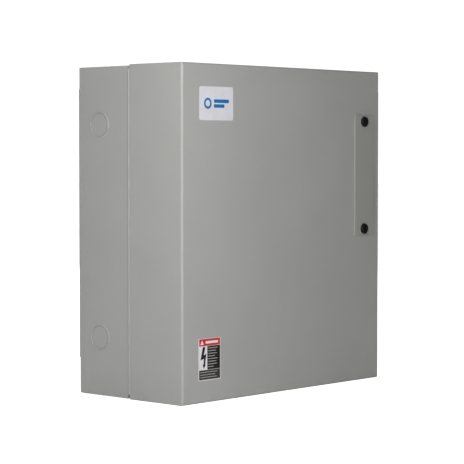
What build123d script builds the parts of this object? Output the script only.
from build123d import *
import os
from math import asin, atan2, degrees

# Automatic transfer switch in a wall-mounted sheet-steel enclosure.
# Frame: millimetres, +Z up, the door faces -Y and its hinge is on the -X side.
# Origin: centre of the flat back that lies on the wall.
# At rest the door is closed with its two latches turned to the unlocked position, and the
# switch connects the normal source: its contact carrier is in, the emergency one is out.

os.makedirs("parts", exist_ok=True)

# ---- driving dimensions: enclosure ----
WIDTH, HEIGHT, DEPTH = 426.0, 457.0, 202.0
SEAM_Y = -101.0             # where the door pan meets the rear box
SHEET = 1.5
BEND_R, BACK_R = 3.0, 5.0   # outer bend radius of the sheet steel, and round the box's back
CORNER_R = 1.2              # welded and ground corners
GRIND_FRONT, GRIND_BACK = 0.45, 0.8      # depth ground off the bends beside the corner welds
GRIND_TOP_L, GRIND_BOTTOM_L = 30.0, 50.0
SEAM_GAP = 0.4              # half of the gap between the box and the door pan
BOX_SIDE_STEP, BOX_TOP_STEP, BOX_BOTTOM_STEP = 0.5, 1.7, 0.8
HALF_W, HALF_H = WIDTH / 2, HEIGHT / 2
BOX_HALF_W = HALF_W - BOX_SIDE_STEP
BOX_TOP, BOX_BOTTOM = HALF_H - BOX_TOP_STEP, -HALF_H + BOX_BOTTOM_STEP
WALL_HOLE_X, WALL_HOLE_Z, WALL_HOLE_R = 150.0, 210.0, 4.0

# ---- knockouts: trade sizes 1 inch and 1 1/4 inch over 3/4 inch ----
KNOCKOUT_Y = -44.0
SIDE_KNOCKOUT_Z, SIDE_KNOCKOUT_R, SIDE_TAB_ANGLES = 147.0, 17.3, (62.0, 55.0)
END_KNOCKOUT_X, END_KNOCKOUT_R, END_INNER_R = 110.0, 22.2, 14.25
BURR_R, BURR_SINK, SCORE_DEPTH, TAB_WIDTH = 1.2, 0.2, 0.4, 8.0

# ---- rim frame, hinge and catch ----
RIM_FORWARD, RIM_BACK, RIM_LIP = 12.0, 14.0, 5.0
HINGE_X, KNUCKLE_R, KNUCKLE_BORE_R, HINGE_PIN_R = 1.1 - HALF_W, 2.1, 1.06, 1.0
HINGE_HALF_L, KNUCKLES, KNUCKLE_GAP = 222.0, 21, 0.3
LEAF_T, LEAF_WIDTH, HINGE_NOTCH = 1.2, 20.0, 2.4
RIM_LEFT = HINGE_X + KNUCKLE_R + 0.35
LATCH_X, LATCH_MID_Z, LATCH_SPACING = 174.7, 75.2, 158.0
PLATE_X, PLATE_W, PLATE_H, PLATE_T, PLATE_R = 177.5, 47.6, 178.5, 1.6, 4.0
PLATE_EDGE_R = 0.8
LATCH_HEAD_R, LATCH_HEAD_H, LATCH_SHAFT_R = 7.7, 3.2, 4.0
BUSH_R, BUSH_FLANGE_R, BUSH_CLEARANCE = 5.5, 8.5, 0.06
CAM_T, CAM_W, CAM_REACH, CAM_Y = 2.5, 12.0, 21.0, -183.1
CATCH_T, CATCH_X, CATCH_LIP_X, CATCH_FRONT_Y = 2.0, 200.0, 188.0, -188.0
CATCH_FOOT_Y, CATCH_END_Y, CATCH_BEND_R = -72.0, -45.0, 0.9
CATCH_WINDOW_Y, CATCH_WINDOW_HALF_H, CATCH_WINDOW_R = (-165.0, -120.0), 50.0, 8.0

# ---- labels: centre x, centre z, width, height, corner radius ----
LABEL_T = 0.3
PRODUCT_LABEL = (-146.2, 174.7, 67.2, 45.3, 3.0)
DANGER_LABEL = (-159.9, -169.8, 44.2, 57.2, 1.2)
DIAGRAM_LABEL = (-35.0, 10.0, 230.0, 280.0, 3.0)

# ---- equipment panel: depth is counted forward from its front face ----
PANEL_Y, PANEL_T, PANEL_HALF_W, PANEL_HALF_H = -16.0, 2.0, 190.0, 195.0
STANDOFF_X, STANDOFF_Z = 176.0, 181.0

# ---- transfer switch modules ----
SWITCH_Z, NORMAL_X, EMERGENCY_X = 20.0, -136.0, -12.0
INTERLOCK_X = (NORMAL_X + EMERGENCY_X) / 2
MODULE_HALF_W, BASE_HALF_H, BASE_D = 42.0, 65.0, 44.0
COVER_HALF_H, COVER_D, MODULE_WALL = 46.0, 86.0, 3.0
POLE_X, STROKE = 27.0, 6.0
CARRIER_D, PIN_D, ARM_RADIUS, ROCKER_PIN_R = 46.3, 53.5, 14.0, 2.0
ROCKER_D = PIN_D + STROKE / 2
ROCKER_HALF_ANGLE = degrees(asin(STROKE / 2 / ARM_RADIUS))
STRAP_T, STRAP_HALF_W, BAR_T = 2.5, 7.0, 3.0
TERMINAL_Z = 56.0           # terminal screw, from the module's centre
MAGNET_HALF_W, MAGNET_HALF_H, YOKE_D, LEG_D = 28.0, 14.0, (4.0, 14.0), 38.0
MAGNET_LEGS = ((-28.0, -20.0), (-8.0, 8.0), (20.0, 28.0))
COIL_HALF_W, COIL_HALF_H, COIL_D, COIL_R = 18.8, 25.0, (15.5, 35.5), 5.0
CHEEK_HALF_W, CHEEK_HALF_H, CHEEK_T, COIL_BORE_GAP = 19.7, 27.0, 1.2, 0.3
BRIDGE_D, BRIDGE_HALF_W, BRIDGE_HALF_L, TIP_Z, TIP_R = (49.6, 52.1), 6.0, 25.0, 20.5, 4.0

# ---- lugs and bars ----
LUG_HALF_W, LUG_DEPTH, LUG_BODY, TANG_LENGTH, LUG_BORE_R = 10.0, 24.0, 30.0, 20.0, 6.5
LUG_BORE_OFFSET = 13.0      # from the lug's back to its bore's axis
SET_SCREW_R = 4.5
NEUTRAL_XS, NEUTRAL_Z, NEUTRAL_D = (-148.0, -115.0, -82.0), -141.0, 24.0
INSULATOR_XS = (-176.0, -54.0)
GROUND_Z = -182.0

# ---- control gear on the right of the panel ----
CONTROL_X0, CONTROL_X1, CONTROL_Z0, CONTROL_Z1 = 52.0, 158.0, 60.0, 190.0
CONTROL_WALL, CONTROL_BASE_D, CONTROL_COVER_D, CONTROL_OPEN_Z = 2.5, 34.0, 46.0, 94.0
BUTTON_XS, BUTTON_Z, BUTTON_R, BUTTON_TRAVEL = (82.0, 128.0), 118.0, 5.5, 1.5
LENS_XS, LENS_Z, LENS_R = (69.0, 87.0, 105.0, 123.0, 141.0), 166.0, 2.6
DIP_X0, DIP_X1, DIP_Z0, DIP_Z1 = 85.0, 125.0, 138.0, 150.0
CORE_X, CORE_D, CORE_Z, CORE_WINDOWS = (64.0, 130.0), (8.0, 38.0), (-60.0, -6.0), (75.0, 108.0)
CORE_WINDOW_W, CORE_WINDOW_Z, STRAP_Z, CORE_FEET_X = 11.0, (-50.0, -16.0), (-46.0, -20.0), (52.0, 142.0)
FUSE_XS, FUSE_D, FUSE_R, FUSE_CLIP_ZS, FUSE_BASE_T = (159.0, 175.0), 17.0, 5.15, (-50.0, -20.0), 8.0
RELAY_XS, RELAY_W, RELAY_D, RELAY_Z, RELAY_FLANGE_T = (62.0, 102.0), 28.0, 40.0, (8.0, 40.0), 3.0
STRIP_X, STRIP_Z, STRIP_T, STRIP_BARRIER_D = (54.0, 186.0), (-110.0, -86.0), 8.0, 17.0
STRIP_X0, STRIP_POSTS, STRIP_PITCH, STRIP_ROWS = 72.0, 9, 12.0, (-104.0, -92.0)
SCREW_R, SCREW_HEAD_R, SCREW_HEAD_H, SCREW_HOLE_R = 2.4, 4.4, 3.0, 2.5


# ---------------------------------------------------------------- helpers
def block(x0, x1, y0, y1, z0, z1):
    """Box between two corners."""
    centre = Pos((x0 + x1) / 2, (y0 + y1) / 2, (z0 + z1) / 2)
    return centre * Box(x1 - x0, y1 - y0, z1 - z0)


def panel_block(x0, x1, d0, d1, z0, z1):
    """Box on the equipment panel, its depth counted forward from the panel's face."""
    return block(x0, x1, PANEL_Y - d1, PANEL_Y - d0, z0, z1)


def rod_y(x, y0, y1, z, radius):
    return Pos(x, (y0 + y1) / 2, z) * Rot(90, 0, 0) * Cylinder(radius, y1 - y0)


def rod_z(x, y, z0, z1, radius):
    return Pos(x, y, (z0 + z1) / 2) * Cylinder(radius, z1 - z0)


def panel_rod(x, d0, d1, z, radius):
    """Cylinder standing on the equipment panel."""
    return rod_y(x, PANEL_Y - d1, PANEL_Y - d0, z, radius)


def prism_z(points, z0, z1):
    """Closed XY outline pulled up from z0 to z1."""
    outline = make_face(Polyline(*points, close=True))
    return Pos(0, 0, z0) * extrude(outline, z1 - z0, dir=(0, 0, 1))


def rounded_plate(x, z, width, height, radius, y0, y1):
    """Plate facing -Y with rounded corners."""
    plate = extrude(RectangleRounded(width, height, radius), y1 - y0)
    return Pos(x, y1, z) * Rot(90, 0, 0) * plate


def hex_nut(x, z, across_flats, d0, d1, bore_r):
    """Hexagon nut standing on the equipment panel."""
    hexagon = RegularPolygon(across_flats / 2, 6, major_radius=False)
    nut = Pos(x, PANEL_Y - d0, z) * Rot(90, 0, 0) * extrude(hexagon, d1 - d0)
    return nut - panel_rod(x, d0 - 1, d1 + 1, z, bore_r)


def pan_screw(x, z, seat, tip, turn=0.0):
    """Slotted pan-head screw whose head sits at depth seat and whose shank ends at depth tip."""
    head = panel_rod(x, seat, seat + SCREW_HEAD_H, z, SCREW_HEAD_R)
    head = fillet(head.edges().sort_by(Axis.Y)[0], 1.4)
    slot = Pos(x, PANEL_Y - seat - SCREW_HEAD_H, z) * Rot(0, turn, 0) * Box(2 * SCREW_HEAD_R, 2.4, 1.2)
    return head + panel_rod(x, tip, seat, z, SCREW_R) - slot


def save(name, *solids):
    """Writes one sub-part, keeping its solids separate."""
    shape = solids[0] if len(solids) == 1 else Compound(children=list(solids))
    export_step(shape, f"parts/{name}.step")


# ---------------------------------------------------------------- enclosure
def knockout(wall, placement, radius, tab_angle, inner_radius=0.0):
    """Scores a ring in a wall from inside; its burr stands proud outside, except at two tabs.

    placement puts the local origin on the wall's outer face, local Z outwards.
    """
    rings = [(radius, tab_angle)]
    if inner_radius:
        rings.append((inner_radius, tab_angle + 90))
    for ring_r, angle in rings:
        tabs = Rot(0, 0, angle) * Box(3 * ring_r, TAB_WIDTH, 4 * SHEET)
        burr = Pos(0, 0, -BURR_SINK) * Torus(ring_r, BURR_R)
        score = Cylinder(ring_r + SCORE_DEPTH, 2 * SCORE_DEPTH)
        score -= Cylinder(ring_r - SCORE_DEPTH, 3 * SCORE_DEPTH)
        wall = wall + placement * (burr - tabs)
        wall = wall - placement * (Pos(0, 0, -SHEET) * score - tabs)
    return wall


def grind_corner(pan, side, face_y, towards, z0, z1, depth):
    """Flattens a vertical outer bend where it was welded and ground.

    side is -1 or +1 along X, and towards is the direction of the outer face along Y.
    """
    half_w, bend_r = (HALF_W, BEND_R) if towards < 0 else (BOX_HALF_W, BACK_R)
    x, y = side * (half_w - bend_r), face_y - towards * bend_r
    turn = degrees(atan2(towards, side))
    cutter = Rot(0, 0, turn) * Pos(bend_r - depth + 5, 0, 0) * Box(10, 10, z1 - z0)
    return pan - Pos(x, y, (z0 + z1) / 2) * cutter


def rear_box():
    front = SEAM_Y + SEAM_GAP
    outer = block(-BOX_HALF_W, BOX_HALF_W, front, 0, BOX_BOTTOM, BOX_TOP)
    outer = fillet(outer.edges().filter_by(Axis.Y), CORNER_R)
    outer = fillet(outer.faces().sort_by(Axis.Y)[-1].edges(), BACK_R)
    inner = block(-BOX_HALF_W + SHEET, BOX_HALF_W - SHEET, front - 1, -SHEET,
                  BOX_BOTTOM + SHEET, BOX_TOP - SHEET)
    inner = fillet(inner.faces().sort_by(Axis.Y)[-1].edges(), BACK_R - SHEET)
    pan = outer - inner
    pan -= block(-HALF_W - 1, -BOX_HALF_W + 2 * SHEET, front - 1, SEAM_Y + HINGE_NOTCH,
                 -HALF_H, HALF_H)
    for x in (-WALL_HOLE_X, WALL_HOLE_X):
        for z in (-WALL_HOLE_Z, WALL_HOLE_Z):
            pan -= rod_y(x, -3, 1, z, WALL_HOLE_R)
    for side in (-1, 1):
        for z, angle in zip((SIDE_KNOCKOUT_Z, -SIDE_KNOCKOUT_Z), SIDE_TAB_ANGLES):
            face = Pos(side * BOX_HALF_W, KNOCKOUT_Y, z) * Rot(0, side * 90, 0)
            pan = knockout(pan, face, SIDE_KNOCKOUT_R, angle)
    for x in (-END_KNOCKOUT_X, END_KNOCKOUT_X):
        top = Pos(x, KNOCKOUT_Y - 6, BOX_TOP)
        bottom = Pos(x, KNOCKOUT_Y - 6, BOX_BOTTOM) * Rot(180, 0, 0)
        for face in (top, bottom):
            pan = knockout(pan, face, END_KNOCKOUT_R, 20, END_INNER_R)
    for side in (-1, 1):
        pan = grind_corner(pan, side, 0, 1, BOX_TOP - GRIND_TOP_L, HALF_H, GRIND_BACK)
        pan = grind_corner(pan, side, 0, 1, -HALF_H, BOX_BOTTOM + GRIND_BOTTOM_L, GRIND_BACK)
    return pan


def box_rim():
    """Angle-section frame welded inside the box's mouth, which the door pan closes over."""
    right, top, bottom = BOX_HALF_W - SHEET, BOX_TOP - SHEET, BOX_BOTTOM + SHEET
    front, back = SEAM_Y - RIM_FORWARD, SEAM_Y + RIM_BACK
    rim = block(RIM_LEFT, right, front, back, bottom, top)
    rim = fillet(rim.faces().sort_by(Axis.Y)[0].edges(), 1.2)
    rim -= block(RIM_LEFT + SHEET, right - SHEET, front + SHEET, back + 1,
                 bottom + SHEET, top - SHEET)
    rim -= block(RIM_LEFT + RIM_LIP, right - RIM_LIP, front - 1, back,
                 bottom + RIM_LIP, top - RIM_LIP)
    across = (RIM_LEFT + RIM_LIP, right - RIM_LIP)
    return [rim & block(RIM_LEFT, across[0], front, back, bottom, top),
            rim & block(across[1], right, front, back, bottom, top),
            rim & block(*across, front, back, 0, top),
            rim & block(*across, front, back, bottom, 0)]


def hinge_leaf(first, leaf_x, direction):
    """One leaf of the continuous hinge with every second knuckle.

    direction is +1 for the leaf that runs back into the box and -1 for the door's leaf.
    """
    pitch = 2 * HINGE_HALF_L / KNUCKLES
    near, far = SEAM_Y + direction * (HINGE_NOTCH + 0.2), SEAM_Y + direction * LEAF_WIDTH
    leaf = block(leaf_x, leaf_x + LEAF_T, min(near, far), max(near, far),
                 -HINGE_HALF_L, HINGE_HALF_L)
    for index in range(first, KNUCKLES, 2):
        z0 = -HINGE_HALF_L + index * pitch + KNUCKLE_GAP / 2
        z1 = z0 + pitch - KNUCKLE_GAP
        leaf += rod_z(HINGE_X, SEAM_Y, z0, z1, KNUCKLE_R)
        leaf += block(leaf_x, leaf_x + LEAF_T, min(SEAM_Y, near), max(SEAM_Y, near), z0, z1)
    return leaf - rod_z(HINGE_X, SEAM_Y, -HALF_H, HALF_H, KNUCKLE_BORE_R)


def hinge_pin():
    pin = rod_z(HINGE_X, SEAM_Y, -HINGE_HALF_L - 1.5, HINGE_HALF_L + 1.5, HINGE_PIN_R)
    return chamfer(pin.edges(), 0.3)


def catch_bracket():
    """Bent bracket on the box's right wall whose front lip the latch cams turn behind."""
    wall, t = BOX_HALF_W - SHEET, CATCH_T
    foot_y, end_y = CATCH_FOOT_Y, CATCH_END_Y
    outline = [(CATCH_LIP_X, CATCH_FRONT_Y), (CATCH_X, CATCH_FRONT_Y), (CATCH_X, foot_y),
               (wall, foot_y), (wall, end_y), (wall - t, end_y), (wall - t, foot_y + t),
               (CATCH_X - t, foot_y + t), (CATCH_X - t, CATCH_FRONT_Y + t),
               (CATCH_LIP_X, CATCH_FRONT_Y + t)]
    half = PLATE_H / 2
    bracket = prism_z(outline, LATCH_MID_Z - half, LATCH_MID_Z + half)
    bends = bracket.edges().filter_by(Axis.Z).filter_by_position(Axis.X, CATCH_X - 3, wall - 1)
    bracket = fillet(bends, CATCH_BEND_R)
    window = block(CATCH_X - 2 * t, CATCH_X + t, *CATCH_WINDOW_Y,
                   LATCH_MID_Z - CATCH_WINDOW_HALF_H, LATCH_MID_Z + CATCH_WINDOW_HALF_H)
    return bracket - fillet(window.edges().filter_by(Axis.X), CATCH_WINDOW_R)


# ---------------------------------------------------------------- door and latches
def latch_zs():
    return {"upper": LATCH_MID_Z + LATCH_SPACING / 2, "lower": LATCH_MID_Z - LATCH_SPACING / 2}


def door_pan():
    back = SEAM_Y - SEAM_GAP
    outer = block(-HALF_W, HALF_W, -DEPTH, back, -HALF_H, HALF_H)
    outer = fillet(outer.edges().filter_by(Axis.Y), CORNER_R)
    outer = fillet(outer.faces().sort_by(Axis.Y)[0].edges(), BEND_R)
    inner = block(-HALF_W + SHEET, HALF_W - SHEET, -DEPTH + SHEET, back + 1,
                  -HALF_H + SHEET, HALF_H - SHEET)
    inner = fillet(inner.faces().sort_by(Axis.Y)[0].edges(), BEND_R - SHEET)
    pan = outer - inner
    pan -= block(-HALF_W - 1, -HALF_W + 3 * SHEET, SEAM_Y - HINGE_NOTCH, back + 1,
                 -HALF_H - 1, HALF_H + 1)
    for side in (-1, 1):
        pan = grind_corner(pan, side, -DEPTH, -1, HALF_H - GRIND_TOP_L, HALF_H + 1, GRIND_FRONT)
    for z in latch_zs().values():
        pan -= rod_y(LATCH_X, -DEPTH - 1, -DEPTH + 3, z, BUSH_R)
    return pan


def latch_plate():
    plate = rounded_plate(PLATE_X, LATCH_MID_Z, PLATE_W, PLATE_H, PLATE_R,
                          -DEPTH - PLATE_T, -DEPTH)
    plate = fillet(plate.faces().sort_by(Axis.Y)[0].edges(), PLATE_EDGE_R)
    for z in latch_zs().values():
        plate -= rod_y(LATCH_X, -DEPTH - 3, -DEPTH + 1, z, BUSH_R)
    return plate


def latch_bush(z):
    """Nylon bush through the latch plate and the door, with its flange inside the door."""
    inside = -DEPTH + SHEET
    bush = rod_y(LATCH_X, -DEPTH - PLATE_T, inside + 6, z, BUSH_R)
    bush += rod_y(LATCH_X, inside, inside + 2.5, z, BUSH_FLANGE_R)
    return bush - rod_y(LATCH_X, -DEPTH - 5, inside + 8, z, LATCH_SHAFT_R + BUSH_CLEARANCE)


def latch_rotor(z):
    """Slotted head and shaft, with a square end for the cam."""
    seat = -DEPTH - PLATE_T - 0.2
    head = rod_y(LATCH_X, seat - LATCH_HEAD_H, seat, z, LATCH_HEAD_R)
    head = fillet(head.edges().sort_by(Axis.Y)[0], 2.0)
    shaft = rod_y(LATCH_X, seat, CAM_Y - CAM_T, z, LATCH_SHAFT_R)
    square = Pos(LATCH_X, CAM_Y - CAM_T / 2, z) * Box(5.0, CAM_T, 5.0)
    slot = block(LATCH_X - 0.9, LATCH_X + 0.9, seat - LATCH_HEAD_H - 1,
                 seat - LATCH_HEAD_H + 1.5, z - 4.6, z + 4.6)
    return head + shaft + square - slot - rod_y(LATCH_X, CAM_Y - 9, CAM_Y + 1, z, 1.6)


def latch_cam(z):
    """Cam arm, pointing up when unlocked."""
    arm = block(LATCH_X - CAM_W / 2, LATCH_X + CAM_W / 2, CAM_Y - CAM_T, CAM_Y,
                z - CAM_W / 2, z + CAM_REACH)
    arm = fillet(arm.edges().filter_by(Axis.Y), 3.0)
    return arm - Pos(LATCH_X, CAM_Y - CAM_T / 2, z) * Box(5.0, 3 * CAM_T, 5.0)


def latch_screw(z):
    """Screw and washer head that hold the cam on its rotor."""
    head = rod_y(LATCH_X, CAM_Y, CAM_Y + 2.6, z, 4.4)
    head = fillet(head.edges().sort_by(Axis.Y)[-1], 1.2)
    return head + rod_y(LATCH_X, CAM_Y - 8, CAM_Y, z, 1.55)


def door_labels():
    """Thin labels: the product plate, the danger label and the wiring diagram inside."""
    outside, inside = -DEPTH, -DEPTH + SHEET
    product = rounded_plate(*PRODUCT_LABEL, outside - LABEL_T, outside)
    danger = rounded_plate(*DANGER_LABEL, outside - LABEL_T, outside)
    diagram = rounded_plate(*DIAGRAM_LABEL, inside, inside + LABEL_T)
    return product, danger, diagram


# ---------------------------------------------------------------- equipment panel
def switch_feet(centre_x):
    """Screw positions of a module's four feet."""
    return [(centre_x + sx * 37.0, SWITCH_Z + sz * 59.5) for sx in (-1, 1) for sz in (-1, 1)]


CONTROLLER_FEET = [(CONTROL_X0 - 6, CONTROL_Z0 + 20), (CONTROL_X0 - 6, CONTROL_Z1 - 20),
                   (CONTROL_X1 + 6, CONTROL_Z0 + 20), (CONTROL_X1 + 6, CONTROL_Z1 - 20)]
INTERLOCK_FEET = [(INTERLOCK_X, SWITCH_Z + 16.0), (INTERLOCK_X, SWITCH_Z - 16.0)]
TRANSFORMER_FEET = [(57.0, -33.0), (137.0, -33.0)]
FUSE_FEET = [(167.0, -32.0)]
RELAY_FEET = [(x + RELAY_W + 5.2, z) for x in RELAY_XS for z in (RELAY_Z[0] + 1, RELAY_Z[1] - 1)]
STRIP_FEET = [(60.0, -98.0), (180.0, -98.0)]
GROUND_FEET = [(48.0 + 17.0 * i, GROUND_Z) for i in range(7)]
# each: positions and the depth of the face that the screw heads sit on
SCREW_SEATS = [(switch_feet(NORMAL_X) + switch_feet(EMERGENCY_X), 5.0),
               (CONTROLLER_FEET, 3.0), (INTERLOCK_FEET, 2.0), (TRANSFORMER_FEET, 2.0),
               (FUSE_FEET, 8.0), (RELAY_FEET, 3.0), (STRIP_FEET, 8.0), (GROUND_FEET, 9.0)]


def mounting_panel():
    back = PANEL_Y + PANEL_T
    panel = block(-PANEL_HALF_W, PANEL_HALF_W, PANEL_Y, back, -PANEL_HALF_H, PANEL_HALF_H)
    for side in (-1, 1):
        edge, inner = side * PANEL_HALF_W, side * (PANEL_HALF_W - PANEL_T)
        panel += block(min(edge, inner), max(edge, inner), PANEL_Y, back + 8,
                       -PANEL_HALF_H + 12, PANEL_HALF_H - 12)
    corners = panel.faces().sort_by(Axis.Y)[0].edges().filter_by(Axis.Z)
    panel = fillet(corners, 1.5)
    for x in (-STANDOFF_X, STANDOFF_X):
        for z in (-STANDOFF_Z, STANDOFF_Z):
            panel -= panel_rod(x, -4, 1, z, 3.2)
    for points, _ in SCREW_SEATS:
        for x, z in points:
            panel -= panel_rod(x, -4, 1, z, SCREW_HOLE_R)
    return panel


def panel_standoffs():
    """Spacers on the box's back, each with a stud through the panel."""
    back_wall, panel_back = -SHEET, PANEL_Y + PANEL_T
    return [rod_y(x, panel_back, back_wall, z, 6.0) + rod_y(x, PANEL_Y - 9, panel_back, z, 3.0)
            for x in (-STANDOFF_X, STANDOFF_X) for z in (-STANDOFF_Z, STANDOFF_Z)]


def panel_nuts():
    return [hex_nut(x, z, 10.0, 0.0, 5.0, 3.05)
            for x in (-STANDOFF_X, STANDOFF_X) for z in (-STANDOFF_Z, STANDOFF_Z)]


# ---------------------------------------------------------------- transfer switch
def pole_xs(centre_x):
    return (centre_x - POLE_X, centre_x + POLE_X)


def switch_base(centre_x):
    """Moulded base: magnet cavity, four feet, and barriers between the terminals."""
    half_w, half_h = MODULE_HALF_W, BASE_HALF_H
    base = panel_block(centre_x - half_w, centre_x + half_w, 0, BASE_D,
                       SWITCH_Z - half_h, SWITCH_Z + half_h)
    base -= panel_block(centre_x - 30, centre_x + 30, 3, BASE_D + 1, SWITCH_Z - 30, SWITCH_Z + 30)
    for x, z in switch_feet(centre_x):
        notch = panel_block(x - 6, x + 6, 5, BASE_D + 1, z - 6.5, z + 6.5)
        base -= notch + panel_rod(x, -1, 6, z, SCREW_HOLE_R)
    for side in (-1, 1):
        z0 = SWITCH_Z + side * (COVER_HALF_H + 0.2)
        z1 = SWITCH_Z + side * half_h
        for offset in (-half_w + 1.5, 0.0, half_w - 1.5):
            x = centre_x + offset
            shorter = 13.0 if offset else 0.0
            base += panel_block(x - 1.5, x + 1.5, BASE_D - 1, 62,
                                min(z0, z1 - side * shorter), max(z0, z1 - side * shorter))
        for x in pole_xs(centre_x):
            base -= panel_rod(x, 33, BASE_D + 1, SWITCH_Z + side * TERMINAL_Z, SCREW_HOLE_R)
    return base


def switch_cover(centre_x, interlock_side):
    """Arc cover with vent slots, a window for the position button and one for the arm."""
    half_w, half_h, wall = MODULE_HALF_W, COVER_HALF_H, MODULE_WALL
    cover = panel_block(centre_x - half_w, centre_x + half_w, BASE_D, COVER_D,
                        SWITCH_Z - half_h, SWITCH_Z + half_h)
    cover = fillet(cover.faces().sort_by(Axis.Y)[0].edges(), 2.5)
    cover -= panel_block(centre_x - half_w + wall, centre_x + half_w - wall, BASE_D - 1,
                         COVER_D - wall, SWITCH_Z - half_h + wall, SWITCH_Z + half_h - wall)
    cover -= panel_block(centre_x - 9, centre_x + 9, COVER_D - 5, COVER_D + 1,
                         SWITCH_Z - 7, SWITCH_Z + 7)
    side = centre_x + interlock_side * half_w
    cover -= panel_block(side - 5, side + 5, 47, 66, SWITCH_Z - 4, SWITCH_Z + 4)
    for x in pole_xs(centre_x):
        cover -= panel_block(x - STRAP_HALF_W - 0.2, x + STRAP_HALF_W + 0.2, BASE_D - 1,
                             BASE_D + STRAP_T + 0.2, SWITCH_Z - half_h - 1, SWITCH_Z + half_h + 1)
        for level in (14.0, 20.0, 26.0, 32.0):
            for z in (SWITCH_Z - level, SWITCH_Z + level):
                slot = panel_block(x - 9, x + 9, COVER_D - 5, COVER_D + 1, z - 1.3, z + 1.3)
                cover -= fillet(slot.edges().filter_by(Axis.Y), 1.2)
    return cover


def fixed_contacts():
    """Line and load straps of every pole, each with a contact tip."""
    straps = []
    for centre_x in (NORMAL_X, EMERGENCY_X):
        for x in pole_xs(centre_x):
            for side in (-1, 1):
                ends = sorted((SWITCH_Z + side * 15.5, SWITCH_Z + side * 64.5))
                strap = panel_block(x - STRAP_HALF_W, x + STRAP_HALF_W, BASE_D,
                                    BASE_D + STRAP_T, *ends)
                strap += panel_rod(x, BASE_D + STRAP_T, BASE_D + 4, SWITCH_Z + side * TIP_Z, TIP_R)
                strap -= panel_rod(x, BASE_D - 1, BASE_D + 5, SWITCH_Z + side * TERMINAL_Z,
                                   SCREW_HOLE_R)
                straps.append(strap)
    return straps


def magnet_core(centre_x):
    """E-shaped core: a yoke at the back and three legs."""
    z0, z1 = SWITCH_Z - MAGNET_HALF_H, SWITCH_Z + MAGNET_HALF_H
    core = panel_block(centre_x - MAGNET_HALF_W, centre_x + MAGNET_HALF_W, *YOKE_D, z0, z1)
    for x0, x1 in MAGNET_LEGS:
        core += panel_block(centre_x + x0, centre_x + x1, YOKE_D[1], LEG_D, z0, z1)
    return core


def operating_coil(centre_x):
    """Wound bobbin on the core's middle leg."""
    rear, front = COIL_D
    winding = panel_block(centre_x - COIL_HALF_W, centre_x + COIL_HALF_W, rear, front,
                          SWITCH_Z - COIL_HALF_H, SWITCH_Z + COIL_HALF_H)
    winding = fillet(winding.edges().filter_by(Axis.Y), COIL_R)
    for d0 in (rear - CHEEK_T, front):
        winding += panel_block(centre_x - CHEEK_HALF_W, centre_x + CHEEK_HALF_W, d0, d0 + CHEEK_T,
                               SWITCH_Z - CHEEK_HALF_H, SWITCH_Z + CHEEK_HALF_H)
    bore_w, bore_h = MAGNET_LEGS[1][1] + COIL_BORE_GAP, MAGNET_HALF_H + COIL_BORE_GAP
    return winding - panel_block(centre_x - bore_w, centre_x + bore_w, rear - 5, front + 5,
                                 SWITCH_Z - bore_h, SWITCH_Z + bore_h)


def armature(centre_x, lift):
    """Plate under the carrier that the core pulls in, with a small air gap left."""
    plate = panel_block(centre_x - MAGNET_HALF_W, centre_x + MAGNET_HALF_W, LEG_D + 0.3 + lift,
                        CARRIER_D + lift, SWITCH_Z - MAGNET_HALF_H, SWITCH_Z + MAGNET_HALF_H)
    return chamfer(plate.edges().filter_by(Axis.Z), 0.8)


def contact_carrier(centre_x, interlock_side, lift):
    """Moulded crossbar with the position button in front and the arm to the rocker."""
    rear, front = CARRIER_D + lift, 60.0 + lift
    carrier = panel_block(centre_x - 38, centre_x + 38, rear, front, SWITCH_Z - 12, SWITCH_Z + 12)
    stem = panel_block(centre_x - 8, centre_x + 8, front, 88.0 + lift, SWITCH_Z - 6, SWITCH_Z + 6)
    carrier += fillet(stem.faces().sort_by(Axis.Y)[0].edges(), 0.8)
    for x in pole_xs(centre_x):
        carrier -= panel_block(x - BRIDGE_HALF_W, x + BRIDGE_HALF_W, BRIDGE_D[0] + lift,
                               BRIDGE_D[1] + lift, SWITCH_Z - 20, SWITCH_Z + 20)
    pin_x = INTERLOCK_X - interlock_side * ARM_RADIUS
    near, far = centre_x + interlock_side * 37, pin_x + interlock_side * 4.2
    arm = panel_block(min(near, far), max(near, far), PIN_D - 4.5 + lift, PIN_D + 4.5 + lift,
                      SWITCH_Z - 2.6, SWITCH_Z + 2.6)
    slot = panel_block(pin_x - 2.5, pin_x + 2.5, PIN_D - 2.08 + lift, PIN_D + 2.08 + lift,
                       SWITCH_Z - 4, SWITCH_Z + 4)
    return carrier + arm - slot


def moving_contacts(centre_x, lift):
    """Contact bridges, each with a tip at both ends."""
    bridges = []
    for x in pole_xs(centre_x):
        rear, front = BRIDGE_D[0] + lift, BRIDGE_D[1] + lift
        bridge = panel_block(x - BRIDGE_HALF_W, x + BRIDGE_HALF_W, rear, front,
                             SWITCH_Z - BRIDGE_HALF_L, SWITCH_Z + BRIDGE_HALF_L)
        for side in (-1, 1):
            bridge += panel_rod(x, rear - 1.3, rear, SWITCH_Z + side * TIP_Z, TIP_R)
        bridges.append(bridge)
    return bridges


def interlock_bracket():
    """Channel between the modules whose ears carry the rocker's shaft."""
    x0, x1 = NORMAL_X + MODULE_HALF_W + 0.3, EMERGENCY_X - MODULE_HALF_W - 0.3
    bracket = panel_block(x0, x1, 0, 2, SWITCH_Z - 28, SWITCH_Z + 28)
    for side in (-1, 1):
        ends = sorted((SWITCH_Z + side * 26, SWITCH_Z + side * 28))
        ear = panel_block(x0, x1, 0, 66, *ends)
        bracket += fillet(ear.edges().filter_by(Axis.Z).sort_by(Axis.Y)[:2], 8)
    bracket -= rod_z(INTERLOCK_X, PANEL_Y - ROCKER_D, SWITCH_Z - 40, SWITCH_Z + 40, 2.55)
    for x, z in INTERLOCK_FEET:
        bracket -= panel_rod(x, -1, 3, z, SCREW_HOLE_R)
    return bracket


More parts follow.
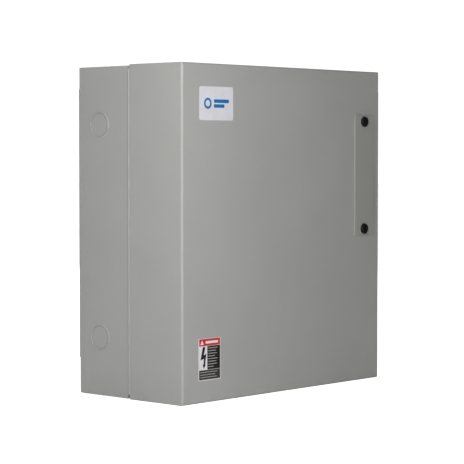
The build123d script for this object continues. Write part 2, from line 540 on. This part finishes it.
def interlock_rocker():
    """Rocker that links both carriers, with the manual transfer lever in front."""
    rocker = Cylinder(5.0, 12)
    for z in (-4.5, 4.5):
        rocker += Pos(0, 0, z) * extrude(SlotCenterToCenter(2 * ARM_RADIUS, 8.0), 1.5, both=True)
    for x in (-ARM_RADIUS, ARM_RADIUS):
        rocker += Pos(x, 0, 0) * Cylinder(ROCKER_PIN_R, 12)
    lever = block(-3, 3, -38, 0, -5, 5)
    knob = fillet(block(-5.5, 5.5, -52, -34, -10, 10).edges(), 2.5)
    rocker += lever + knob
    rocker += rod_z(0, 0, -22, 22, 4.4)
    rocker -= Cylinder(2.56, 60)
    axis_point = Pos(INTERLOCK_X, PANEL_Y - ROCKER_D, SWITCH_Z)
    return axis_point * Rot(0, 0, -ROCKER_HALF_ANGLE) * rocker


def rocker_shaft():
    y = PANEL_Y - ROCKER_D
    shaft = rod_z(INTERLOCK_X, y, SWITCH_Z - 28, SWITCH_Z + 28, 2.5)
    for z0 in (SWITCH_Z - 30.2, SWITCH_Z + 28.2):
        shaft += rod_z(INTERLOCK_X, y, z0, z0 + 2.0, 4.0)
    return shaft + rod_z(INTERLOCK_X, y, SWITCH_Z - 30, SWITCH_Z + 30, 2.5)


# ---------------------------------------------------------------- power terminals
def lug(x, back, root_z, direction):
    """Mechanical lug: a tang, and a block with the conductor's bore. direction is +1 for up."""
    tang_end = root_z + direction * TANG_LENGTH
    body_end = tang_end + direction * LUG_BODY
    body = panel_block(x - LUG_HALF_W, x + LUG_HALF_W, back, back + LUG_DEPTH,
                       *sorted((tang_end, body_end)))
    body = fillet(body.edges().filter_by(Axis.Z), 2.5)
    body += panel_block(x - 8, x + 8, back, back + 3, *sorted((root_z, tang_end + direction)))
    bore_y = PANEL_Y - back - LUG_BORE_OFFSET
    body -= rod_z(x, bore_y, *sorted((tang_end - direction, body_end + direction)), LUG_BORE_R)
    body -= panel_rod(x, back + LUG_BORE_OFFSET, back + LUG_DEPTH + 1,
                      (tang_end + body_end) / 2, SET_SCREW_R + 0.1)
    bolt_z = root_z + direction * (TANG_LENGTH - 12)
    return body - panel_rod(x, back - 1, back + 4, bolt_z, SCREW_HOLE_R)


def set_screw(x, back, root_z, direction):
    """Socket set screw in a lug's front, its tip level with the bore's wall."""
    z = root_z + direction * (TANG_LENGTH + LUG_BODY / 2)
    tip, end = back + LUG_BORE_OFFSET + LUG_BORE_R + 0.3, back + LUG_DEPTH + 2.0
    screw = chamfer(panel_rod(x, tip, end, z, SET_SCREW_R).edges().sort_by(Axis.Y)[0], 0.6)
    socket = extrude(RegularPolygon(2.5, 6, major_radius=False), 4)
    return screw - Pos(x, PANEL_Y - end + 3.5, z) * Rot(90, 0, 0) * socket


LINE_ROOT = SWITCH_Z + TERMINAL_Z - 8
LOAD_A_ROOT, LOAD_B_ROOT = SWITCH_Z - 74, SWITCH_Z - 98
BAR_FRONT = BASE_D + STRAP_T + BAR_T
LUG_PLACES = {
    "normal_line_lugs": [(x, BASE_D + STRAP_T, LINE_ROOT, 1) for x in pole_xs(NORMAL_X)],
    "emergency_line_lugs": [(x, BASE_D + STRAP_T, LINE_ROOT, 1) for x in pole_xs(EMERGENCY_X)],
    "load_lugs": [(NORMAL_X, BAR_FRONT, LOAD_A_ROOT, -1), (EMERGENCY_X, 29.0, LOAD_B_ROOT, -1)],
    "neutral_lugs": [(x, NEUTRAL_D + 6, NEUTRAL_Z + 8, -1) for x in NEUTRAL_XS],
}


def load_bus_bars():
    """Copper bars joining the load side of each pole, one in front of the other."""
    rear, front = BASE_D + STRAP_T, BAR_FRONT
    top = SWITCH_Z - 48
    bar_a = panel_block(NORMAL_X - POLE_X - 7, EMERGENCY_X - POLE_X + 7, rear, front,
                        SWITCH_Z - 88, SWITCH_Z - 74)
    bar_b = panel_block(NORMAL_X + POLE_X - 7, EMERGENCY_X + POLE_X + 7, 26, 29,
                        SWITCH_Z - 112, SWITCH_Z - 98)
    for centre_x in (NORMAL_X, EMERGENCY_X):
        xa, xb = pole_xs(centre_x)
        bar_a += panel_block(xa - 7, xa + 7, rear, front, SWITCH_Z - 88, top)
        bar_b += panel_block(xb - 7, xb + 7, rear, front, SWITCH_Z - 70, top)
        bar_b += panel_block(xb - 7, xb + 7, 26, front, SWITCH_Z - 70, SWITCH_Z - 67)
        bar_b += panel_block(xb - 7, xb + 7, 26, 29, SWITCH_Z - 112, SWITCH_Z - 67)
        bar_a -= panel_rod(xa, rear - 1, front + 1, SWITCH_Z - TERMINAL_Z, SCREW_HOLE_R)
        bar_b -= panel_rod(xb, rear - 1, front + 1, SWITCH_Z - TERMINAL_Z, SCREW_HOLE_R)
    bar_a -= panel_rod(NORMAL_X, rear - 1, front + 1, LOAD_A_ROOT - 8, SCREW_HOLE_R)
    bar_b -= panel_rod(EMERGENCY_X, 25, 30, LOAD_B_ROOT - 8, SCREW_HOLE_R)
    return [bar_a, bar_b]


def neutral_bar():
    bar = panel_block(-184, -46, NEUTRAL_D, NEUTRAL_D + 6, NEUTRAL_Z - 8, NEUTRAL_Z + 8)
    bar = fillet(bar.edges().filter_by(Axis.Y), 2)
    for x in NEUTRAL_XS + INSULATOR_XS:
        bar -= panel_rod(x, NEUTRAL_D - 1, NEUTRAL_D + 7, NEUTRAL_Z, SCREW_HOLE_R)
    return bar


def bar_insulator(x):
    """Ribbed standoff under the neutral bar."""
    post = panel_rod(x, 0, NEUTRAL_D, NEUTRAL_Z, 6.5)
    for d in (5.0, 11.0, 17.0):
        post += panel_rod(x, d, d + 2.5, NEUTRAL_Z, 8.5)
    return post - panel_rod(x, NEUTRAL_D - 12, NEUTRAL_D + 1, NEUTRAL_Z, SCREW_HOLE_R)


def ground_bar():
    bar = panel_block(38, 160, 0, 9, GROUND_Z - 7, GROUND_Z + 7)
    bar = fillet(bar.edges().filter_by(Axis.Y), 2)
    for x, z in GROUND_FEET:
        bar -= panel_rod(x, -1, 10, z, SCREW_HOLE_R)
    return bar


# ---------------------------------------------------------------- control gear
def controller_base():
    wall, x0, x1, z0, z1 = CONTROL_WALL, CONTROL_X0, CONTROL_X1, CONTROL_Z0, CONTROL_Z1
    base = panel_block(x0, x1, 0, CONTROL_BASE_D, z0, z1)
    base = fillet(base.edges().filter_by(Axis.Y), 3)
    base -= panel_block(x0 + wall, x1 - wall, wall, CONTROL_BASE_D + 1, z0 + wall, z1 - wall)
    base -= panel_block(x0 + 8, x1 - 8, 24, CONTROL_BASE_D + 1, z0 - 1, z0 + 5)
    for x, z in CONTROLLER_FEET:
        base += fillet(panel_block(x - 7, x + 7, 0, 3, z - 7, z + 7).edges().filter_by(Axis.Y), 3)
        base -= panel_rod(x, -1, 4, z, SCREW_HOLE_R)
    for x in (x0 + 8, x1 - 8):
        for z in (z0 + 8, z1 - 8):
            base += panel_rod(x, wall, 22, z, 4)
    return base


def controller_board():
    """Circuit board with its plug-in connectors along the lower edge."""
    x0, x1 = CONTROL_X0 + 4, CONTROL_X1 - 4
    board = panel_block(x0, x1, 22, 23.6, CONTROL_Z0 + 4, CONTROL_Z1 - 4)
    for x in (68.0, 95.0, 122.0):
        board += panel_block(x, x + 22, 23.6, 33, CONTROL_Z0 + 5, CONTROL_Z0 + 16)
    board += panel_block(62, 80, 23.6, 31, 80, 90)
    board += panel_block(88, 100, 23.6, 26, 80, 90)
    board += panel_block(DIP_X0 + 1, DIP_X1 - 1, 23.6, 41, DIP_Z0 + 1, DIP_Z1 - 1)
    return board


def controller_cover():
    wall, x0, x1, z1 = 2.0, CONTROL_X0, CONTROL_X1, CONTROL_Z1
    rear, front, z0 = CONTROL_BASE_D, CONTROL_COVER_D, CONTROL_OPEN_Z
    cover = panel_block(x0, x1, rear, front, z0, z1)
    cover = fillet(cover.edges().filter_by(Axis.Y), 3)
    cover = fillet(cover.faces().sort_by(Axis.Y)[0].edges(), 1.5)
    cover -= panel_block(x0 + wall, x1 - wall, rear - 1, front - wall, z0 + wall, z1 - wall)
    for x in BUTTON_XS:
        cover -= panel_rod(x, rear, front + 1, BUTTON_Z, BUTTON_R + 0.3)
    for x in LENS_XS:
        cover -= panel_rod(x, rear, front + 1, LENS_Z, LENS_R + 0.05)
    return cover - panel_block(DIP_X0, DIP_X1, rear, front + 1, DIP_Z0, DIP_Z1)


def push_button(x):
    """Button with a flange behind the cover that keeps it in."""
    button = panel_rod(x, 38, CONTROL_COVER_D + 3, BUTTON_Z, BUTTON_R)
    button = fillet(button.edges().sort_by(Axis.Y)[0], 1.0)
    return button + panel_rod(x, 38, CONTROL_COVER_D - 2.2, BUTTON_Z, BUTTON_R + 2)


def status_lens(x):
    lens = panel_rod(x, CONTROL_COVER_D - 6, CONTROL_COVER_D + 1.6, LENS_Z, LENS_R)
    return fillet(lens.edges().sort_by(Axis.Y)[0], 1.4)


def transformer_core():
    """Laminated core in a strap with two feet."""
    core = panel_block(*CORE_X, *CORE_D, *CORE_Z)
    for x0 in CORE_WINDOWS:
        core -= panel_block(x0, x0 + CORE_WINDOW_W, 0, CORE_D[1] + 1, *CORE_WINDOW_Z)
    for side, inner, foot in zip((-1, 1), CORE_X, CORE_FEET_X):
        strap = panel_block(*sorted((inner, inner + side * 2)), 0, CORE_D[1], *STRAP_Z)
        core += strap + panel_block(*sorted((inner, foot)), 0, 2, *STRAP_Z)
    for x, z in TRANSFORMER_FEET:
        core -= panel_rod(x, -1, 3, z, SCREW_HOLE_R)
    return core


def transformer_winding():
    """Winding round the core's middle leg, clear of the core by 0.3 mm."""
    gap = 0.3
    left, right = CORE_WINDOWS[0] + gap, CORE_WINDOWS[1] + CORE_WINDOW_W - gap
    winding = panel_block(left, right, 1, 45, CORE_WINDOW_Z[0] + 0.5, CORE_WINDOW_Z[1] - 0.5)
    winding = fillet(winding.edges().filter_by(Axis.Z), 5)
    leg_left, leg_right = CORE_WINDOWS[0] + CORE_WINDOW_W, CORE_WINDOWS[1]
    return winding - panel_block(leg_left - gap, leg_right + gap, CORE_D[0] - gap, CORE_D[1] + gap,
                                 *CORE_Z)


def fuse_block():
    """Base with a pair of spring clips for each fuse."""
    base = panel_block(150, 184, 0, FUSE_BASE_T, -60, -4)
    base = fillet(base.edges().filter_by(Axis.Y), 2)
    base -= panel_rod(FUSE_FEET[0][0], -1, FUSE_BASE_T + 1, FUSE_FEET[0][1], SCREW_HOLE_R)
    for x in FUSE_XS:
        for z in FUSE_CLIP_ZS:
            clip = panel_block(x - 6.4, x + 6.4, FUSE_BASE_T, FUSE_D + 3, z - 3, z + 3)
            tunnel = rod_z(x, PANEL_Y - FUSE_D, z - 5, z + 5, FUSE_R)
            mouth = panel_block(x - 4.2, x + 4.2, FUSE_D, FUSE_D + 4, z - 5, z + 5)
            base += clip - tunnel - mouth
    return base


def fuse(x):
    """Ceramic tube with a metal cap in each clip."""
    low, high = FUSE_CLIP_ZS
    body = rod_z(x, PANEL_Y - FUSE_D, low - 4, high + 4, FUSE_R - 0.4)
    for z in FUSE_CLIP_ZS:
        cap = rod_z(x, PANEL_Y - FUSE_D, z - 5, z + 5, FUSE_R)
        body += fillet(cap.edges(), 0.4)
    return body


def control_relay(x0):
    """Flange-mounted relay in a clear case."""
    case = panel_block(x0, x0 + RELAY_W, 0, RELAY_D, *RELAY_Z)
    case = fillet(case.edges().filter_by(Axis.Y), 2)
    case = fillet(case.faces().sort_by(Axis.Y)[0].edges(), 1.5)
    flange_end = x0 + RELAY_W + 10
    flange = panel_block(x0, flange_end, 0, RELAY_FLANGE_T, RELAY_Z[0] - 4, RELAY_Z[1] + 4)
    flange = fillet(flange.edges().filter_by(Axis.Y), 2)
    for x, z in RELAY_FEET:
        if x0 < x < flange_end:
            flange -= panel_rod(x, -1, RELAY_FLANGE_T + 1, z, SCREW_HOLE_R)
    return case + flange


def terminal_strip():
    """Barrier strip for the generator start and auxiliary contacts."""
    strip = panel_block(*STRIP_X, 0, STRIP_T, *STRIP_Z)
    strip = fillet(strip.edges().filter_by(Axis.Y), 2)
    for index in range(STRIP_POSTS + 1):
        x = STRIP_X0 - STRIP_PITCH / 2 + index * STRIP_PITCH
        strip += panel_block(x - 1, x + 1, STRIP_T - 1, STRIP_BARRIER_D, *STRIP_Z)
    for x, z in STRIP_FEET:
        strip -= panel_rod(x, -1, STRIP_T + 1, z, SCREW_HOLE_R)
    for x, z in strip_screw_points():
        strip -= panel_rod(x, 2, STRIP_T + 1, z, SCREW_HOLE_R)
    return strip


def strip_screw_points():
    return [(STRIP_X0 + i * STRIP_PITCH, z) for i in range(STRIP_POSTS) for z in STRIP_ROWS]


def pan_head_screws():
    """Every slotted pan-head screw on the fixed equipment."""
    places = [(x, z, seat, -5.0) for points, seat in SCREW_SEATS for x, z in points]
    places += [(x, z, STRIP_T, 2.5) for x, z in strip_screw_points()]
    for name, lugs in LUG_PLACES.items():
        for x, back, root_z, direction in lugs:
            z = root_z + direction * (TANG_LENGTH - 12)
            depth = {"load_lugs": 8.0, "neutral_lugs": 10.0}.get(name, 13.0)
            places.append((x, z, back + 3, back + 3 - depth))
    for centre_x in (NORMAL_X, EMERGENCY_X):
        for x in pole_xs(centre_x):
            places.append((x, SWITCH_Z - TERMINAL_Z, BAR_FRONT, BAR_FRONT - 13))
    places += [(x, NEUTRAL_Z, NEUTRAL_D + 6, NEUTRAL_D - 10) for x in INSULATOR_XS]
    return [pan_screw(x, z, seat, tip, turn=37.0 * index)
            for index, (x, z, seat, tip) in enumerate(places)]


# ---------------------------------------------------------------- wiring
WIRE_R, WIRE_BEND = 1.3, 5.0


def wire(*points):
    """Control wire along a polyline given as x, depth, z, with rounded corners."""
    path = FilletPolyline(*[(x, PANEL_Y - d, z) for x, d, z in points], radius=WIRE_BEND)
    section = Plane(path @ 0, z_dir=path % 0) * Circle(WIRE_R)
    return sweep(section, path)


def control_harness():
    """Leads from the terminal strip, fuses and transformer to the controller."""
    wires = []
    plug_z, relay_top = CONTROL_Z0 + 5, 47.5
    for index in range(4):      # terminal strip to the controller's connectors
        x, lane, plug_x = STRIP_X0 + index * STRIP_PITCH, 35.0 + 3.0 * index, 72.0 + 4.0 * index
        low, high = -81.0 + 3.0 * index, relay_top + 2.8 * (3 - index)
        wires.append(wire((x, 9.5, -87.5), (x, 9.5, low), (lane, 9.5, low), (lane, 9.5, 12.0),
                          (lane, 28.0, 12.0), (lane, 28.0, high), (plug_x, 28.0, high),
                          (plug_x, 28.0, plug_z)))
    for index, x in enumerate(FUSE_XS):      # fuses to the controller's last connector
        plug_x, high = 128.0 + 5.0 * index, relay_top + 2.8 * index
        wires.append(wire((x, FUSE_D, -14.9), (x, FUSE_D, 0.0), (x, 28.0, 0.0), (x, 28.0, high),
                          (plug_x, 28.0, high), (plug_x, 28.0, plug_z)))
    return wires


# ---------------------------------------------------------------- the whole part
def main():
    save("rear_box", rear_box())
    save("box_rim", *box_rim())
    save("hinge_box_leaf", hinge_leaf(0, -BOX_HALF_W + SHEET, 1))
    save("hinge_door_leaf", hinge_leaf(1, -HALF_W + SHEET, -1))
    save("hinge_pin", hinge_pin())
    save("catch_bracket", catch_bracket())

    save("door_pan", door_pan())
    save("latch_plate", latch_plate())
    save("latch_bushes", *[latch_bush(z) for z in latch_zs().values()])
    for name, z in latch_zs().items():
        save(f"{name}_latch_rotor", latch_rotor(z))
        save(f"{name}_latch_cam", latch_cam(z))
        save(f"{name}_latch_screw", latch_screw(z))
    for name, label in zip(("product_label", "danger_label", "wiring_diagram_label"),
                           door_labels()):
        save(name, label)

    save("mounting_panel", mounting_panel())
    save("panel_standoffs", *panel_standoffs())
    save("panel_nuts", *panel_nuts())

    # the normal module is in (closed) and the emergency module out (open)
    for name, centre_x, side, lift in (("normal", NORMAL_X, 1, 0.0),
                                       ("emergency", EMERGENCY_X, -1, STROKE)):
        save(f"{name}_switch_base", switch_base(centre_x))
        save(f"{name}_switch_cover", switch_cover(centre_x, side))
        save(f"{name}_contact_carrier", contact_carrier(centre_x, side, lift))
        save(f"{name}_moving_contacts", *moving_contacts(centre_x, lift))
        save(f"{name}_armature", armature(centre_x, lift))
    save("operating_coils", operating_coil(NORMAL_X), operating_coil(EMERGENCY_X))
    save("magnet_cores", magnet_core(NORMAL_X), magnet_core(EMERGENCY_X))
    save("fixed_contacts", *fixed_contacts())
    save("interlock_bracket", interlock_bracket())
    save("interlock_rocker", interlock_rocker())
    save("rocker_shaft", rocker_shaft())

    for name, places in LUG_PLACES.items():
        save(name, *[lug(*place) for place in places])
    save("lug_set_screws", *[set_screw(*place) for places in LUG_PLACES.values()
                             for place in places])
    save("load_bus_bars", *load_bus_bars())
    save("neutral_bar", neutral_bar())
    save("bar_insulators", *[bar_insulator(x) for x in INSULATOR_XS])
    save("ground_bar", ground_bar())

    save("controller_base", controller_base())
    save("controller_board", controller_board())
    save("controller_cover", controller_cover())
    save("transfer_test_button", push_button(BUTTON_XS[0]))
    save("generator_test_button", push_button(BUTTON_XS[1]))
    save("status_lenses", *[status_lens(x) for x in LENS_XS])
    save("transformer_core", transformer_core())
    save("transformer_winding", transformer_winding())
    save("fuse_block", fuse_block())
    save("fuses", *[fuse(x) for x in FUSE_XS])
    save("control_relays", *[control_relay(x) for x in RELAY_XS])
    save("terminal_strip", terminal_strip())
    save("control_harness", *control_harness())
    save("pan_head_screws", *pan_head_screws())


main()
